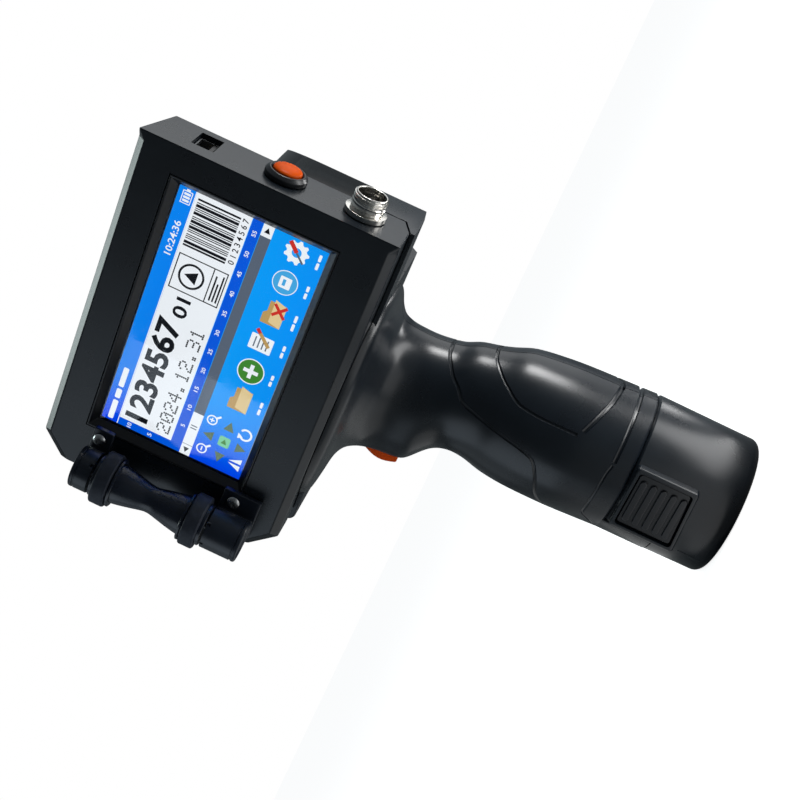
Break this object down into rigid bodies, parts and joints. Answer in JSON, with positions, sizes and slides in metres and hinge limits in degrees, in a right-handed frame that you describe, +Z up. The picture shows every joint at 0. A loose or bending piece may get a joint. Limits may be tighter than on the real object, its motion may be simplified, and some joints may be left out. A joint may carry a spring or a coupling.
{
  "type": "date code inkjet printer",
  "caption": "Handheld thermal inkjet coder with a side touch screen, cartridge pod, guide roller, trigger and pistol grip on a clip-in battery.",
  "frame": {"origin": "centre of the battery's flat base, on which the printer stands", "axes": "+Z up the grip, +Y towards the printed surface, -X out of the screen"},
  "size_m": [0.0954, 0.14, 0.2353],
  "materials": {
    "shell_black": "satin moulded",
    "gloss_black": "gloss",
    "frame_black": "satin moulded",
    "roller_black": "satin moulded",
    "rubber_black": "matt",
    "button_orange": "satin moulded",
    "nickel": "bright nickel plate",
    "steel": "brushed",
    "module_metal": "pressed sheet",
    "board_green": "solder mask",
    "cartridge_black": "satin",
    "cell_wrap": "shrink wrap, aluminium stands for the cell's density",
    "screen_glass": "lit display under glass",
    "insulator": "satin moulded"
  },
  "bodies": {
    "housing": {"screen_housing": "shell_black", "display_bezel": "frame_black", "touch_glass": "screen_glass", "lcd_panel": "module_metal", "main_board": "board_green", "housing_back_panel": "shell_black", "power_button_bezel": "frame_black", "power_switch": "insulator", "aviation_socket": "nickel", "aviation_nut": "nickel", "aviation_core": "insulator", "data_port": "nickel", "port_tongue": "insulator", "body_left": "shell_black", "body_right": "shell_black", "rear_cover": "gloss_black", "door_hinge_pin": "steel", "hinge_bracket_lower": "steel", "hinge_bracket_upper": "steel", "ink_cartridge": "cartridge_black", "cartridge_cradle": "shell_black", "contact_board": "board_green", "print_plate": "steel", "body_screw_1": "steel", "body_screw_2": "steel", "body_screw_3": "steel", "body_screw_4": "steel", "body_screw_5": "steel", "trigger_spring": "steel", "trigger_switch": "insulator", "grip_contact_block": "insulator", "power_board": "board_green", "roller_bracket_lower": "roller_black", "roller_bracket_upper": "roller_black", "roller_cap_lower": "roller_black", "roller_cap_upper": "roller_black", "roller_screw_1": "steel", "roller_screw_2": "steel"},
    "power_button": {"power_button_cap": "button_orange"},
    "trigger": {"trigger_button": "button_orange"},
    "door": {"cartridge_door": "gloss_black"},
    "roller": {"roller_spool": "roller_black", "roller_tyre_upper": "rubber_black", "roller_tyre_lower": "rubber_black", "roller_shaft": "steel", "encoder_disc": "steel"},
    "battery": {"battery_shell": "shell_black", "battery_cell_1": "cell_wrap", "battery_cell_2": "cell_wrap", "battery_cell_3": "cell_wrap", "battery_lid": "shell_black", "battery_terminals": "nickel"},
    "latch_left": {"latch_button_left": "frame_black"},
    "latch_right": {"latch_button_right": "frame_black"}
  },
  "joints": [
    {"name": "roller_spin", "type": "hinge", "parent": "housing", "child": "roller", "pos_m": [-0.0566, 0.0645, 0.1878], "axis": [0, 0, 1], "continuous": true},
    {"name": "trigger_press", "type": "slide", "parent": "housing", "child": "trigger", "axis": [0, -1, 0], "range_m": [0, 0.0025], "stiffness_N_per_m": 900, "springref_m": -0.002},
    {"name": "power_press", "type": "slide", "parent": "housing", "child": "power_button", "axis": [0, 1, 0], "range_m": [0, 0.0012], "stiffness_N_per_m": 800, "springref_m": -0.001},
    {"name": "door_swing", "type": "hinge", "parent": "housing", "child": "door", "pos_m": [0.0269, -0.009, 0.1887], "axis": [0, 0, -1], "range_deg": [0, 110]},
    {"name": "battery_slide", "type": "slide", "parent": "housing", "child": "battery", "axis": [0, 0, -1], "range_m": [0, 0.08]},
    {"name": "latch_left_press", "type": "slide", "parent": "battery", "child": "latch_left", "axis": [1, 0, 0], "range_m": [0, 0.0015], "stiffness_N_per_m": 800, "springref_m": -0.0015},
    {"name": "latch_right_press", "type": "slide", "parent": "battery", "child": "latch_right", "axis": [-1, 0, 0], "range_m": [0, 0.0015], "stiffness_N_per_m": 800, "springref_m": -0.0015}
  ]
}
